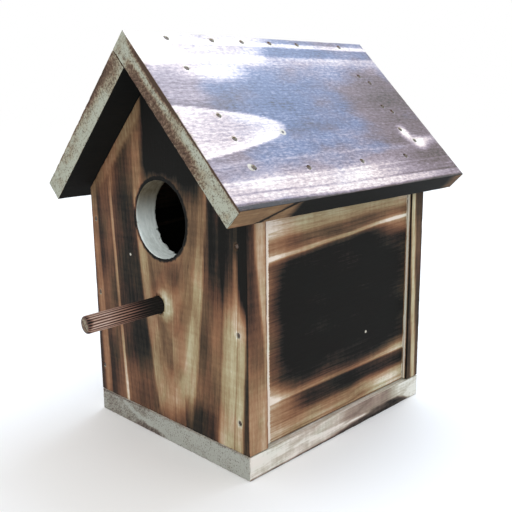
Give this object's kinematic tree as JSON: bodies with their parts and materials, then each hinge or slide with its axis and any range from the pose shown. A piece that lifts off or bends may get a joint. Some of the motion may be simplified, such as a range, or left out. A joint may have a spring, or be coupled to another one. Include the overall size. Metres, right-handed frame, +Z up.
{
  "type": "birdhouse",
  "caption": "Small gable-roofed nest box of nailed, torched pine boards with a round entry hole and a dowel perch.",
  "frame": {"origin": "centre of the floor board's underside", "axes": "+Z up, +X to the right across the front, +Y from the front board to the back board"},
  "size_m": [0.1478, 0.1977, 0.2042],
  "materials": {
    "floor_board": "lightly scorched pine, pale end grain",
    "front_board": "torched and brushed pine with dark bands and a pale cathedral figure",
    "back_board": "torched and brushed pine",
    "left_side_board": "torched pine, charred in the middle",
    "right_side_board": "torched pine, charred in the middle with brown borders",
    "left_roof_board": "torched pine, satin",
    "right_roof_board": "torched pine with a satin sheen",
    "perch_dowel": "fluted dowel, scorched brown",
    "brads": "dull steel, heat darkened"
  },
  "bodies": {
    "root": {"floor_board": "floor_board", "front_board": "front_board", "back_board": "back_board", "left_side_board": "left_side_board", "right_side_board": "right_side_board", "left_roof_board": "left_roof_board", "right_roof_board": "right_roof_board", "perch_dowel": "perch_dowel", "back_left_nail_1": "brads", "back_left_nail_2": "brads", "back_left_nail_3": "brads", "back_right_nail_1": "brads", "back_right_nail_2": "brads", "back_right_nail_3": "brads", "floor_back_left_nail": "brads", "floor_back_right_nail": "brads", "floor_front_left_nail": "brads", "floor_front_right_nail": "brads", "floor_side_left_nail": "brads", "floor_side_right_nail": "brads", "front_left_nail_1": "brads", "front_left_nail_2": "brads", "front_left_nail_3": "brads", "front_right_nail_1": "brads", "front_right_nail_2": "brads", "front_right_nail_3": "brads", "left_eave_nail_1": "brads", "left_eave_nail_2": "brads", "left_eave_nail_3": "brads", "left_roof_back_nail_1": "brads", "left_roof_back_nail_2": "brads", "left_roof_back_nail_3": "brads", "left_roof_front_nail_1": "brads", "left_roof_front_nail_2": "brads", "left_roof_front_nail_3": "brads", "ridge_nail_1": "brads", "ridge_nail_2": "brads", "ridge_nail_3": "brads", "ridge_nail_4": "brads", "ridge_nail_5": "brads", "ridge_nail_6": "brads", "right_eave_nail_1": "brads", "right_eave_nail_2": "brads", "right_eave_nail_3": "brads", "right_roof_back_nail_1": "brads", "right_roof_back_nail_2": "brads", "right_roof_back_nail_3": "brads", "right_roof_back_nail_4": "brads", "right_roof_back_nail_5": "brads", "right_roof_back_nail_6": "brads", "right_roof_front_nail_1": "brads", "right_roof_front_nail_2": "brads", "right_roof_front_nail_3": "brads", "right_roof_front_nail_4": "brads"}
  },
  "joints": []
}
